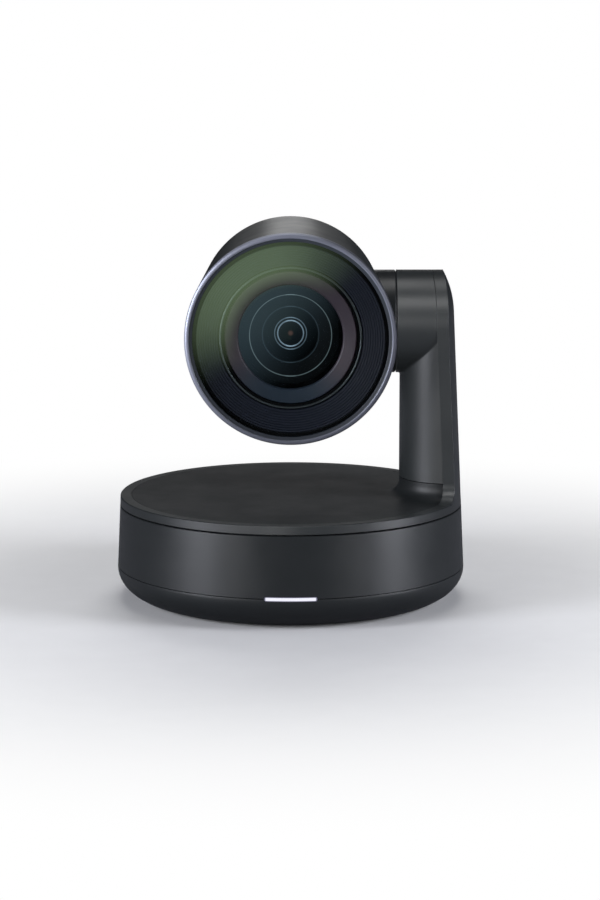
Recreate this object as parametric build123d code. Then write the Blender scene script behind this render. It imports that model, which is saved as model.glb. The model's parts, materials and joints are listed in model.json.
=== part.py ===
"""Pan-tilt-zoom camera: a drum head on a one-sided arm, on a round turntable and base.

Millimetres. +Z is up, the origin is the centre of the underside, the lens looks along -Y and the
arm stands at +X. Every piece is written as its own STEP file.
"""
from build123d import *
from math import acos, atan2, cos, pi, radians, sin, sqrt, tan
import os

# ---------------------------------------------------------------- driving dimensions

# outer surface of base, turntable and arm, a surface of revolution about +Z
MAX_R = 76.0            # widest radius, a 152 mm footprint
UNDERSIDE_R = 59.0      # flat underside
WIDEST_Z = 13.4         # height of the widest radius
TAPER = 0.045           # inward taper of the wall, mm per mm of height
SEAM_Z = 14.3           # seam between bottom shell and side shell
PAN_GAP_Z = 41.2        # gap between base and turntable
DISC_Z = 45.2           # top of the turntable disc
RIM_WIDTH = 4.8         # width of the turntable rim and of the arm's outer band
WALL = 2.4              # moulded wall
PAN_GAP = 0.6
SEAM = 0.26
FIT = 0.03              # radial running clearance

# arm
ARM_SCREW_X = 56.3      # screws through the foot of the arm frame
ARM_SCREW_Y = (-8.0, 8.0)
TILT_Z = 121.1          # height of the tilt axis
ARM_R = 22.3            # half-width of the arm and radius of its round top
CROWN_Z = 126.0         # where the outer surface starts to curve in at the top
CROWN_R = 40.0          # radius of that curve
DRUM_X = 45.8           # face of the arm's drum towards the head
COLUMN_X = 47.5         # face of the arm's column towards the head
COLUMN_CORNER = 22.0    # rounding of the column's vertical corners, nearly a half round
DRUM_BLEND = 1.0        # fillet where the column runs into the drum
COLUMN_SEAM_Z = 53.0    # seam between the arm cover and the stub of the disc
FOOT_FILLET = 8.0       # flare of the arm's flanks into the turntable rim
STUB_FILLET = 5.8       # flare of the stub into the disc

# head, turning about the tilt axis
FRONT_Y = -60.5
FRONT_R = 44.3
BARREL_REAR_Y = 45.0
REAR_Y = 56.0
REAR_R_AT_51 = 40.9     # barrel radius at Y = 51 before the rear rounding
BEZEL_DEPTH = 7.0
BARREL_WALL = 2.4
BOSS_R = 22.3
BOSS_X = 45.4

# optics, along Y on the tilt axis height
WINDOW_R = 40.9
WINDOW_T = 1.5
WINDOW_Y = FRONT_Y + 1.0
BAFFLE_OUT_R = 39.0
BAFFLE_IN_R = 30.2
BAFFLE_GROOVES = 12
LENS_TUBE_R = 30.1
TUBE_FRONT_Y = FRONT_Y + 7.0
TUBE_REAR_Y = 12.0
FRONT_LENS_R = 22.5

# gears
PAN_MODULE = 1.0
PAN_TEETH = 72
PAN_PINION_TEETH = 16
TILT_MODULE = 0.8
TILT_TEETH = 44
TILT_PINION_TEETH = 14
BACKLASH = 0.12
PRESSURE_ANGLE = radians(20)
PAN_CENTRES = PAN_MODULE * (PAN_TEETH + PAN_PINION_TEETH) / 2
TILT_CENTRES = TILT_MODULE * (TILT_TEETH + TILT_PINION_TEETH) / 2


# ---------------------------------------------------------------- helpers

def wall_r(z):
    """Radius of the outer surface at height z, on the taper and the crown."""
    r = MAX_R - TAPER * (z - WIDEST_Z)
    if z <= CROWN_Z:
        return r
    start = atan2(TAPER, 1)
    r = MAX_R - TAPER * (CROWN_Z - WIDEST_Z)
    now = sin(start) + (z - CROWN_Z) / CROWN_R
    return r - CROWN_R * (cos(start) - sqrt(1 - now * now))


def barrel_r(y):
    """Radius of the head's taper at y."""
    return FRONT_R + (REAR_R_AT_51 - FRONT_R) * (y - FRONT_Y) / (51.0 - FRONT_Y)


def turned(points):
    """Solid of revolution about Z from an (r, z) outline."""
    return revolve(Plane.XZ * make_face(Polyline(*points, close=True)), axis=Axis.Z)


def ring(r_in, r_out, z0, z1):
    """Flat ring, or a disc when r_in is 0."""
    return turned([(r_in, z0), (r_out, z0), (r_out, z1), (r_in, z1)])


def rod(r, z0, z1, x=0.0, y=0.0):
    return Pos(x, y, z0) * Cylinder(r, z1 - z0, align=(Align.CENTER, Align.CENTER, Align.MIN))


def block(x0, x1, y0, y1, z0, z1):
    return Pos((x0 + x1) / 2, (y0 + y1) / 2, (z0 + z1) / 2) * Box(x1 - x0, y1 - y0, z1 - z0)


def along_lens(shape):
    """Takes a shape turned about Z and lays it on the optical axis: local z becomes Y."""
    return Pos(0, 0, TILT_Z) * Rot(-90, 0, 0) * shape


def along_tilt(shape):
    """Takes a shape turned about Z and lays it on the tilt axis: local z becomes X, local x is down."""
    return Location(Plane(origin=(0, 0, TILT_Z), x_dir=(0, 0, -1), z_dir=(1, 0, 0))) * shape


def involute_point(base_r, r):
    """Polar angle of the involute of base_r at radius r."""
    a = acos(base_r / r)
    return tan(a) - a


def gear(module, teeth, bore, z0, z1, phase=0.0):
    """Spur gear with involute flanks; one tooth is centred on local +X when phase is 0."""
    pitch = module * teeth / 2
    base = pitch * cos(PRESSURE_ANGLE)
    tip = pitch + 0.9 * module
    root = pitch - 1.25 * module
    half = pi / (2 * teeth) - BACKLASH / (4 * pitch) + involute_point(base, pitch)
    flank_start = max(base, root) * 1.0005
    radii = [flank_start + (tip - flank_start) * i / 5 for i in range(6)]
    points = []
    for n in range(teeth):
        mid = 2 * pi * n / teeth + phase
        side = [(r, half - involute_point(base, r)) for r in radii]
        foot = half if base > root else side[0][1]
        left = [(root, foot)] + side
        points += [(r * cos(mid - a), r * sin(mid - a)) for r, a in left]
        points += [(r * cos(mid + a), r * sin(mid + a)) for r, a in reversed(left)]
    outline = make_face(Polyline(*points, close=True))
    body = extrude(Pos(0, 0, z0) * outline, z1 - z0)
    if bore:
        body -= rod(bore, z0 - 1, z1 + 1)
    return body


def bearing(bore, outer, width, balls, ball_r, z0):
    """Deep-groove ball bearing on Z: outer ring, inner ring and the balls."""
    mid = (bore + outer) / 2
    land = ball_r * 0.45
    z1 = z0 + width
    race = Pos(0, 0, z0 + width / 2) * Torus(mid, ball_r + FIT)
    outer_ring = ring(mid + land, outer, z0, z1) - race
    inner_ring = ring(bore, mid - land, z0, z1) - race
    spheres = [Rot(0, 0, 360 * n / balls) * Pos(mid, 0, z0 + width / 2) * Sphere(ball_r)
               for n in range(balls)]
    return outer_ring, inner_ring, spheres


def screw(x, y, z_head, length, r=1.2, up=False):
    """Pan-head screw with a cross recess; its shank runs down from z_head, or up when up is True."""
    head = rod(r * 1.9, 0, r * 1.1)
    head -= rod(0.01 + r * 0.25, r * 0.6, r * 1.2)
    for turn in (0, 90):
        head -= Rot(0, 0, turn) * block(-r * 1.1, r * 1.1, -r * 0.2, r * 0.2, r * 0.5, r * 1.2)
    body = head + rod(r, -length, 0)
    return Pos(x, y, z_head) * (Rot(180, 0, 0) * body if up else body)


def outer_body(inset=0.0):
    """Everything inside the outer surface of base and arm, drawn in by inset."""
    z_end = TILT_Z + ARM_R + 6
    z_mid = (CROWN_Z + z_end) / 2
    r_crown = wall_r(CROWN_Z) - inset
    r_end = wall_r(z_end) - inset
    bottom = Line((0, 0), (UNDERSIDE_R - inset, 0))
    bowl = EllipticalCenterArc((UNDERSIDE_R - inset, WIDEST_Z), MAX_R - UNDERSIDE_R, WIDEST_Z, 270)
    wall = Line((MAX_R - inset, WIDEST_Z), (r_crown, CROWN_Z))
    crown = ThreePointArc((r_crown, CROWN_Z), (wall_r(z_mid) - inset, z_mid), (r_end, z_end))
    lid = Line((r_end, z_end), (0, z_end))
    face = Plane.XZ * make_face(Curve() + [bottom, bowl, wall, crown, lid, Line((0, z_end), (0, 0))])
    return revolve(face, axis=Axis.Z)


def slab(z0, z1):
    """Everything between two heights."""
    return rod(120, z0, z1)


# ---------------------------------------------------------------- base

FLOOR_Z = 0.9           # underside of the bottom shell; the rubber ring stands below it
LEG_R = 62.0            # where the frame's legs stand
LEG_ANGLES = (45, 135, 225, 315)
BOARD_Z = 15.6          # underside of the main board
GEAR_Z = 20.0
FRAME_Z = 27.5
BEARING_Z = 30.0
MOTOR_Y = -PAN_CENTRES
LIGHT_W = 22.4
LIGHT_H = 2.0
PORT_FLAT_Y = 67.5      # face of the flat panel that holds the sockets
MOTOR_TOP_Z = 17.0      # underside of the pan motor's ears
MOTOR_EAR_X = 19.8
BUTTON_X = 26.0
SIDE_SCREW_R = 68.6     # where the side shell is screwed to the frame
LEG_PLACES = [(LEG_R * cos(radians(a)), LEG_R * sin(radians(a))) for a in LEG_ANGLES]
RETAINER_PLACES = [(28.25 * cos(radians(a)), 28.25 * sin(radians(a))) for a in (30, 150, 270)]
GEAR_SCREW_PLACES = [(17 * cos(radians(a)), 17 * sin(radians(a))) for a in (60, 180, 300)]
SIDE_SCREW_PLACES = [
    (SIDE_SCREW_R * cos(radians(a)), SIDE_SCREW_R * sin(radians(a))) for a in (0, 90, 180, 270)
]
STANDOFF_PLACES = [(-46, 30), (46, 30), (-20, 40), (20, 40)]


def light_slot(grow=0.0):
    """The opening of the status light, across the lower seam."""
    bar = Plane.XZ * SlotOverall(LIGHT_W + 2 * grow, LIGHT_H + 2 * grow)
    return Pos(0, -60, SEAM_Z) * extrude(bar, 30)


def base_hollow():
    """Space inside the base's walls."""
    z_floor = FLOOR_Z + WALL
    return outer_body(WALL) & slab(z_floor, PAN_GAP_Z + 10)


def base_bottom_shell():
    shell = outer_body() & slab(FLOOR_Z, SEAM_Z - SEAM / 2)
    shell -= base_hollow()
    shell += rod(8.5, FLOOR_Z, 12.0)
    for x, y in LEG_PLACES:
        shell += rod(4.2, FLOOR_Z, 5.0, x, y)
    for x in (-MOTOR_EAR_X, MOTOR_EAR_X):
        shell += rod(2.6, FLOOR_Z, MOTOR_TOP_Z, x, MOTOR_Y) - rod(1.2, 8.0, 20.0, x, MOTOR_Y)
    for x, y in STANDOFF_PLACES:
        shell += rod(2.6, FLOOR_Z, BOARD_Z, x, y) + rod(1.35, BOARD_Z - 1, BOARD_Z + 2.4, x, y)
    shell &= outer_body() & slab(FLOOR_Z, BOARD_Z + 2.4)
    shell -= rod(5.02, FLOOR_Z - 1, 11.0)
    shell -= ring(46.0, 57.0, FLOOR_Z - 1, FLOOR_Z + 0.8)
    for x, y in LEG_PLACES:
        shell -= rod(1.35, FLOOR_Z - 1, 6.0, x, y)
        shell -= rod(2.6, FLOOR_Z - 1, FLOOR_Z + 1.8, x, y)
    shell -= light_slot(0.05)
    return shell


def rubber_foot_ring():
    body = turned([(46.1, 0.3), (46.4, 0), (56.6, 0), (56.9, 0.3), (56.9, 1.7), (46.1, 1.7)])
    for r in (49.0, 51.5, 54.0):
        body -= ring(r - 0.35, r + 0.35, -1, 0.35)
    return body


def tripod_insert():
    """Brass 1/4-20 insert; the hole is drawn at the thread's crest radius."""
    body = ring(2.6, 5.0, FLOOR_Z, 11.0)
    for z in (3.0, 5.4, 7.8):
        body -= ring(4.6, 6.0, z, z + 0.8)
    body -= turned([(2.5, FLOOR_Z - 0.1), (3.4, FLOOR_Z - 0.1), (2.5, FLOOR_Z + 0.8)])
    return body


def side_ports():
    """Openings of the sockets and of the button in the back of the side shell."""
    z = BOARD_Z + 1.6
    cut = block(-27.0 - 4.6, -27.0 + 4.6, 60, 90, z - 0.1, z + 9.6)
    cut += block(-8.0 - 4.6, -8.0 + 4.6, 60, 90, z - 0.1, z + 3.4)
    cut += block(12.0 - 7.8, 12.0 + 7.8, 60, 90, z - 0.1, z + 6.0)
    cut += Pos(BUTTON_X, 90, z + 4.0) * Rot(90, 0, 0) * Cylinder(2.6, 60)
    return cut


def base_side_shell():
    """Tapered wall with an inner ledge on the frame and a recessed flat panel at the back."""
    top = PAN_GAP_Z - PAN_GAP / 2
    shell = outer_body() & slab(SEAM_Z + SEAM / 2, top)
    shell -= base_hollow()
    shell += ring(66.5, wall_r(BEARING_Z) - WALL + 0.5, BEARING_Z, BEARING_Z + 1.6)
    for x, y in SIDE_SCREW_PLACES:
        shell -= rod(1.25, BEARING_Z - 1, BEARING_Z + 3, x, y)
    shell -= turned([(wall_r(top) - 0.3, top + 0.01), (wall_r(top) + 1, top + 0.01),
                     (wall_r(top) + 1, top - 0.9), (wall_r(top), top - 0.3)])
    recess = block(-36.5, 36.5, PORT_FLAT_Y, 90, SEAM_Z + 2.0, 27.0)
    housing = block(-38, 38, PORT_FLAT_Y - 1.5, 90, SEAM_Z + 0.8, 27.4) & outer_body(1.0)
    shell = shell + housing - recess - side_ports()
    return shell - light_slot(0.05)


def status_light_bar():
    bar = light_slot(-0.03) & outer_body(0.15)
    return bar - outer_body(4.0)


def base_frame():
    """Die-cast frame: bearing seat on a plate with four legs."""
    body = rod(71.0, FRAME_Z, BEARING_Z) - rod(23.8, FRAME_Z - 1, BEARING_Z + 1)
    for n in range(8):
        body -= Rot(0, 0, 45 * n + 22.5) * Pos(47.5, 0, FRAME_Z) * Cylinder(10.5, 12)
    body += ring(26.0, 30.5, FRAME_Z, BEARING_Z + 7.0)
    for x, y in LEG_PLACES:
        body += rod(4.2, 5.0, BEARING_Z, x, y) - rod(1.2, 4.0, 13.0, x, y)
    for x, y in RETAINER_PLACES:
        body -= rod(0.8, BEARING_Z + 2, BEARING_Z + 8, x, y)
    for x, y in SIDE_SCREW_PLACES:
        body -= rod(1.2, FRAME_Z - 1, BEARING_Z + 1, x, y)
    return body - rod(26.0, BEARING_Z, BEARING_Z + 8)


def pan_bearing_retainer():
    body = ring(24.6, 30.5, BEARING_Z + 7.0, BEARING_Z + 8.0)
    for x, y in RETAINER_PLACES:
        body -= rod(0.85, BEARING_Z + 6, BEARING_Z + 9, x, y)
    return body


def pan_motor():
    """Flat can stepper, shaft up, with two ears on its flange."""
    body = rod(17.0, 4.2, MOTOR_TOP_Z, 0, MOTOR_Y)
    ears = Pos(0, MOTOR_Y, MOTOR_TOP_Z) * extrude(SlotOverall(46.0, 8.0), 0.9)
    for x in (-MOTOR_EAR_X, MOTOR_EAR_X):
        ears -= rod(1.2, MOTOR_TOP_Z - 1, MOTOR_TOP_Z + 2, x, MOTOR_Y)
    body += ears + rod(5.0, MOTOR_TOP_Z, MOTOR_TOP_Z + 1.9, 0, MOTOR_Y)
    return body + rod(1.5, MOTOR_TOP_Z, GEAR_Z + 6.6, 0, MOTOR_Y)


def pan_pinion():
    phase = radians(90) + pi / PAN_PINION_TEETH
    body = gear(PAN_MODULE, PAN_PINION_TEETH, 0, GEAR_Z - 0.5, GEAR_Z + 5.5, phase)
    body += rod(4.0, GEAR_Z - 0.8, GEAR_Z - 0.4)
    body -= rod(1.5 + FIT, 0, 60)
    return Pos(0, MOTOR_Y, 0) * body


def main_board():
    z1 = BOARD_Z + 1.6
    board = rod(66.0, BOARD_Z, z1) & block(-70, 70, 22.0, 65.5, 0, 60)
    board -= rod(22, 0, 60)
    for x, y in LEG_PLACES:
        board -= rod(6.0, 0, 60, x, y)
    for x, y in STANDOFF_PLACES:
        board -= rod(1.4, 0, 60, x, y)
    for x, y, w, d, h in ((0, 48, 13, 13, 1.2), (-31, 46, 8, 8, 1.0), (22, 47, 8, 6, 1.0),
                          (35, 31, 5, 5, 1.8), (-38, 32, 6, 4, 1.4), (BUTTON_X, 57.5, 6, 6, 6.8)):
        board += block(x - w / 2, x + w / 2, y - d / 2, y + d / 2, z1 - 0.1, z1 + h)
    return board + Pos(BUTTON_X, 60.8, z1 + 4.0) * Rot(90, 0, 0) * Cylinder(1.6, 0.8)


def status_light_board():
    """Strip board behind the light bar, with its emitters."""
    board = block(-13, 13, -70.9, -69.9, 9.0, 19.0)
    for n in range(-2, 3):
        board += block(n * 4.2 - 0.8, n * 4.2 + 0.8, -71.05, -70.8, SEAM_Z - 0.6, SEAM_Z + 0.6)
    board += block(-6, 6, -70.0, -66.2, 11.0, 12.0)
    return board + block(-6, 6, -67.4, -66.2, FLOOR_Z + WALL, 12.0)


def power_jack():
    z = BOARD_Z + 1.6
    body = block(-31.5, -22.5, 52.0, 65.9, z, z + 9.0)
    body += Pos(-27.0, 66.4, z + 4.6) * Rot(90, 0, 0) * Cylinder(4.0, 1.8)
    body -= Pos(-27.0, 64.0, z + 4.6) * Rot(90, 0, 0) * Cylinder(2.9, 12.0)
    pin = Pos(-27.0, 62.0, z + 4.6) * Rot(90, 0, 0) * Cylinder(0.9, 9.0)
    return body + pin


def usb_port():
    z = BOARD_Z + 1.6
    shell = Pos(-8.0, 67.2, z + 1.65) * Rot(90, 0, 0) * extrude(SlotOverall(8.9, 3.2), 9.0)
    mouth = Pos(-8.0, 68.2, z + 1.65) * Rot(90, 0, 0) * extrude(SlotOverall(8.3, 2.6), 7.0)
    tongue = block(-11.3, -4.7, 60.0, 66.6, z + 1.3, z + 2.0)
    return shell - mouth + tongue


def video_port():
    z = BOARD_Z + 1.6
    body = block(4.5, 19.5, 56.0, 67.2, z, z + 5.6)
    body -= block(5.0, 19.0, 58.0, 70.0, z + 0.5, z + 5.1)
    return body + block(6.0, 18.0, 57.0, 66.6, z + 2.5, z + 3.2)


def pairing_button():
    """Small press button in the panel, with a flange behind it."""
    z = BOARD_Z + 5.6
    cap = Pos(BUTTON_X, 66.9, z) * Rot(90, 0, 0) * Cylinder(2.55, 2.2)
    flange = Pos(BUTTON_X, 65.4, z) * Rot(90, 0, 0) * Cylinder(3.2, 1.0)
    return cap + flange + Pos(BUTTON_X, 63.6, z) * Rot(90, 0, 0) * Cylinder(1.2, 3.0)


def base_screws():
    """Every screw of the base: underside, side shell, bearing retainer and motor."""
    screws = [screw(x, y, FLOOR_Z + 1.8, 8.5, r=1.18, up=True) for x, y in LEG_PLACES]
    screws += [screw(x, y, BEARING_Z + 1.6, 3.6, r=1.18) for x, y in SIDE_SCREW_PLACES]
    screws += [screw(x, y, BEARING_Z + 8.0, 4.5, r=0.78) for x, y in RETAINER_PLACES]
    screws += [screw(x, MOTOR_Y, MOTOR_TOP_Z + 0.9, 6.0, r=1.15) for x in (-MOTOR_EAR_X, MOTOR_EAR_X)]
    return screws


def pan_home_sensor():
    """Slotted light sensor that reads the flag under the pan gear."""
    z = FRAME_Z
    body = block(34.0, 41.0, -3.0, 3.0, z - 2.2, z)
    body += block(38.6, 41.0, -3.0, 3.0, z - 8.6, z - 2)
    return body


# ---------------------------------------------------------------- turntable

HUB_BORE = 14.0
HUB_R = 20.0
RIM_LOW = PAN_GAP_Z + PAN_GAP / 2
FRAME_TOP = RIM_LOW
COVER_T = 2.0
LEDGE_TOP = DISC_Z - COVER_T


def arm_outline(inset=0.0, flare=FOOT_FILLET, z_low=DISC_Z):
    """Arch seen along X: round top on the tilt axis, straight flanks, flared foot unless flare is 0."""
    r = ARM_R - inset
    k = flare * (1 - sin(pi / 4))
    edges = [Line((-r, z_low + flare), (-r, TILT_Z)),
             ThreePointArc((-r, TILT_Z), (0, TILT_Z + r), (r, TILT_Z)),
             Line((r, TILT_Z), (r, z_low + flare)),
             Line((r + flare, z_low), (-r - flare, z_low))]
    if flare:
        edges.append(ThreePointArc((-r - flare, z_low), (-r - k, z_low + k), (-r, z_low + flare)))
        edges.append(ThreePointArc((r, z_low + flare), (r + k, z_low + k), (r + flare, z_low)))
    return Plane.YZ * make_face(Curve() + edges)


def turntable_outer_shell():
    """Rim of the turntable and the outer band of the arm in one moulding."""
    band = (outer_body() & slab(RIM_LOW, TILT_Z + ARM_R + 1)) - outer_body(RIM_WIDTH)
    arm = extrude(arm_outline(), 90) & band
    edge_r = wall_r(DISC_Z)
    chamfer_ring = turned([(edge_r - 0.35, DISC_Z + 0.01), (edge_r + 1, DISC_Z + 0.01),
                           (edge_r + 1, DISC_Z - 0.35), (edge_r + 0.01, DISC_Z - 0.35)])
    rim = (band & slab(RIM_LOW, DISC_Z)) - (chamfer_ring - extrude(arm_outline(z_low=DISC_Z - 1), 90))
    hollow = extrude(arm_outline(WALL, 0, DISC_Z + 1), 90) & outer_body(WALL)
    foot_room = block(40, 66.6, -14, 14, 0, 60)
    ledge = ring(66.6, wall_r(RIM_LOW) - RIM_WIDTH + 0.5, RIM_LOW, LEDGE_TOP) - foot_room
    skirt = ring(67.6, 69.6, PAN_GAP_Z - 4.2, LEDGE_TOP)
    return rim + arm - hollow + ledge + skirt


def turntable_cover():
    """Flat disc with the stub of the arm column rising from it."""
    plate = block(-100, 130, -100, 100, DISC_Z - COVER_T, DISC_Z)
    body = plate + column(DISC_Z - 1, COLUMN_SEAM_Z + 10, 0, 130)
    foot = [e for e in body.edges()
            if abs(e.center().Z - DISC_Z) < 1e-4 and abs(e.center().Y) < 60
            and COLUMN_X - 1 < e.center().X < 129]
    body = fillet(foot, STUB_FILLET)
    body -= column(DISC_Z - 5, COLUMN_SEAM_Z + 15, WALL, 130)
    return body & outer_body(RIM_WIDTH + 0.12) & slab(DISC_Z - COVER_T, COLUMN_SEAM_Z - SEAM / 2)


def column_section(z, inset, x_out, corner):
    """Horizontal section of the column: flat flanks, rounded corners towards the head."""
    w = ARM_R - inset
    x0 = COLUMN_X + inset
    c = max(corner - inset, 0.3)
    k = c * (1 - sin(pi / 4))
    edges = [Line((x_out, -w), (x0 + c, -w)),
             ThreePointArc((x0 + c, -w), (x0 + k, -w + k), (x0, -w + c)),
             Line((x0, -w + c), (x0, w - c)),
             ThreePointArc((x0, w - c), (x0 + k, w - k), (x0 + c, w)),
             Line((x0 + c, w), (x_out, w)),
             Line((x_out, w), (x_out, -w))]
    return Pos(0, 0, z) * make_face(Curve() + edges)


def column(z0, z1, inset, x_out):
    """Straight part of the column, with full corner rounding."""
    return extrude(column_section(z0, inset, x_out, COLUMN_CORNER), z1 - z0)


def arm_core(inset):
    """Drum and column of the arm cover, drawn in by inset."""
    x_out = 80.0
    core = column(COLUMN_SEAM_Z + SEAM / 2 - (5 if inset else 0), TILT_Z, inset, x_out)
    core += along_tilt(rod(ARM_R - inset, DRUM_X + inset, x_out))
    if inset:
        return core
    crease = [e for e in core.edges()
              if COLUMN_X - 1 < e.center().X < x_out - 1 and TILT_Z - ARM_R - 3 < e.center().Z < TILT_Z - 1
              and e.geom_type != GeomType.CIRCLE]
    return fillet(crease, DRUM_BLEND)


def arm_inner_cover():
    skin = arm_core(0) & outer_body(RIM_WIDTH + 0.12)
    inside = arm_core(WALL) + block(60, 90, -ARM_R + WALL, ARM_R - WALL, COLUMN_SEAM_Z - 5, TILT_Z)
    inside += along_tilt(rod(ARM_R - WALL, 60, 90))
    skin -= inside
    return skin - along_tilt(rod(13.2, 40, 60))


def turntable_frame():
    """Cast disc with the hollow hub that turns in the base."""
    body = rod(67.4, FRAME_TOP - 2.0, FRAME_TOP)
    body += rod(22.8, BEARING_Z + 7.0, FRAME_TOP)
    body += rod(HUB_R, GEAR_Z + 5.0, BEARING_Z + 8.0)
    body -= rod(HUB_BORE, 0, 60)
    for n in range(1, 6):
        body -= Rot(0, 0, 60 * n) * Pos(44, 0, 40) * Cylinder(11, 20)
    for x, y in GEAR_SCREW_PLACES:
        body -= rod(0.9, GEAR_Z, GEAR_Z + 12, x, y)
    for y in ARM_SCREW_Y:
        body -= rod(1.2, FRAME_TOP - 5, FRAME_TOP + 5, ARM_SCREW_X, y)
    return body


def pan_gear():
    """Ring gear screwed under the hub, with a collar up to the bearing's inner ring."""
    body = gear(PAN_MODULE, PAN_TEETH, HUB_BORE, GEAR_Z, GEAR_Z + 5.0)
    body -= ring(22.5, 31.5, GEAR_Z - 1, GEAR_Z + 1.6)
    body += ring(HUB_R, 22.2, GEAR_Z + 4.0, BEARING_Z)
    for x, y in GEAR_SCREW_PLACES:
        body -= rod(0.95, GEAR_Z - 1, GEAR_Z + 6, x, y) + rod(1.8, GEAR_Z - 1, GEAR_Z + 1.2, x, y)
    return body


ARM_PLATE_X = 59.0      # inner face of the arm frame's upright
ARM_PLATE_T = 2.5
BEARING_X = 48.3
GEAR_X = 61.9
MOTOR_BACK_X = 52.9
MOTOR_SCREW_Y = 8.0
RIBBON_X = 51.2


def arm_frame():
    """Cast bracket in the arm: foot, upright and the tilt hub."""
    x0, x1 = ARM_PLATE_X, ARM_PLATE_X + ARM_PLATE_T
    foot = column(FRAME_TOP, FRAME_TOP + 3.0, WALL + 0.3, 64.4) & block(40, 64.4, -13, 13, 0, 60)
    body = foot + block(x0, x1, -13, 13, FRAME_TOP, 70) + block(x0, x1, -16, 16, 69, TILT_Z)
    body += along_tilt(rod(16.0, x0, x1)) + along_tilt(rod(12.6, BEARING_X, x0 + 1))
    for y in (-12.3, 12.3):
        body += block(56, x0 + 1, y - 0.7, y + 0.7, FRAME_TOP, FRAME_TOP + 10)
    body -= along_tilt(rod(7.2, x0 - 1, x1 + 1, TILT_CENTRES))
    for y in (-MOTOR_SCREW_Y, MOTOR_SCREW_Y):
        body -= along_tilt(rod(0.85, x0 - 1, x1 + 1, TILT_CENTRES, y))
    for y in ARM_SCREW_Y:
        body -= rod(1.25, FRAME_TOP - 1, FRAME_TOP + 5, ARM_SCREW_X, y)
    body -= along_tilt(rod(10.5, BEARING_X - 1, BEARING_X + 4))
    body -= along_tilt(rod(10.5, x1 - 4, x1 + 1))
    body -= along_tilt(rod(9.0, BEARING_X - 1, x1 + 1))
    return body - block(49.0, RIBBON_X + 0.3, -3.5, 3.5, 0, 80)


def tilt_bearings():
    """Outer rings, inner rings and balls of both tilt bearings."""
    pair = [bearing(7.5, 10.5, 4.0, 12, 0.95, x) for x in (BEARING_X, ARM_PLATE_X + ARM_PLATE_T - 4)]
    outer = [along_tilt(p[0]) for p in pair]
    inner = [along_tilt(p[1]) for p in pair]
    balls = [along_tilt(b) for p in pair for b in p[2]]
    return outer, inner, balls


def tilt_motor():
    """Flat can stepper on the arm frame, its shaft along the tilt axis."""
    x = TILT_CENTRES
    body = rod(9.5, MOTOR_BACK_X, ARM_PLATE_X, x)
    body += rod(7.0, ARM_PLATE_X - 0.5, ARM_PLATE_X + 1.5, x)
    body += rod(1.0, ARM_PLATE_X, 66.2, x)
    for y in (-MOTOR_SCREW_Y, MOTOR_SCREW_Y):
        body -= rod(0.8, ARM_PLATE_X - 4.0, ARM_PLATE_X + 1, x, y)
    return along_tilt(body)


def tilt_pinion():
    phase = pi + pi / TILT_PINION_TEETH
    body = gear(TILT_MODULE, TILT_PINION_TEETH, 0, GEAR_X - 0.1, GEAR_X + 3.3, phase)
    body -= rod(1.0 + FIT, 50, 80)
    return along_tilt(Pos(TILT_CENTRES, 0, 0) * body)


def turntable_screws():
    """Screws of the pan gear, the arm frame and the tilt motor."""
    x1 = ARM_PLATE_X + ARM_PLATE_T
    screws = [screw(x, y, GEAR_Z + 1.2, 9.5, r=0.88, up=True) for x, y in GEAR_SCREW_PLACES]
    screws += [screw(ARM_SCREW_X, y, FRAME_TOP + 3.0, 5.0, r=1.18) for y in ARM_SCREW_Y]
    screws += [along_tilt(screw(TILT_CENTRES, y, x1, 6.0, r=0.78)) for y in (-MOTOR_SCREW_Y, MOTOR_SCREW_Y)]
    return screws


def tilt_drive_board():
    board = block(57.4, ARM_PLATE_X, -12, 12, 60, 84)
    for y, z, w, h, t in ((0, 72, 8, 8, 1.0), (-6, 64, 5, 3, 1.2), (6, 80, 4, 3, 0.9)):
        board += block(57.4 - t, 57.5, y - w / 2, y + w / 2, z - h / 2, z + h / 2)
    return board


def arm_flex_cable():
    """Ribbon from the base through the hub and under the disc to the tilt board."""
    t = 0.35
    w = 3.0
    z = FRAME_TOP + 0.6
    drop = block(10, 10 + t, -w, w, BOARD_Z + 2.2, z + t)
    run = block(10, RIBBON_X, -w, w, z, z + t)
    rise = block(RIBBON_X - t, RIBBON_X, -w, w, z, 62.0)
    end = block(RIBBON_X - t, 57.4, -w, w, 62.0 - t, 62.0)
    return drop + run + rise + end


# ---------------------------------------------------------------- head

BOARD_Y = 36.0          # front of the processor board
POST_PLACES = [(x, z) for x in (-20, 20) for z in (-20, 20)]
VENT_R = 17.0
VENT_PITCH = 3.6
VENT_W = 1.3
HUB_END_X = 38.6
ROD_R = 1.25
SCREW_R = 1.5
ROD_CIRCLE = 23.0
ZOOM_X = ROD_CIRCLE
FOCUS_X = -ROD_CIRCLE
ZOOM_Y = -24.0
FOCUS_Y = -4.0
SEAT_Y = TUBE_FRONT_Y + 2.8     # front face that carries the retaining ring
LIP_Y = SEAT_Y + 4.7            # lip behind the front lens
CAVITY_Y = LIP_Y + 7.5          # front end of the moving groups' space


def head_outline(inset, y0, y1):
    """(r, y) outline of the tapered tube between y0 and y1."""
    return [(0, y0), (barrel_r(y0) - inset, y0), (barrel_r(y1) - inset, y1), (0, y1)]


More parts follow.
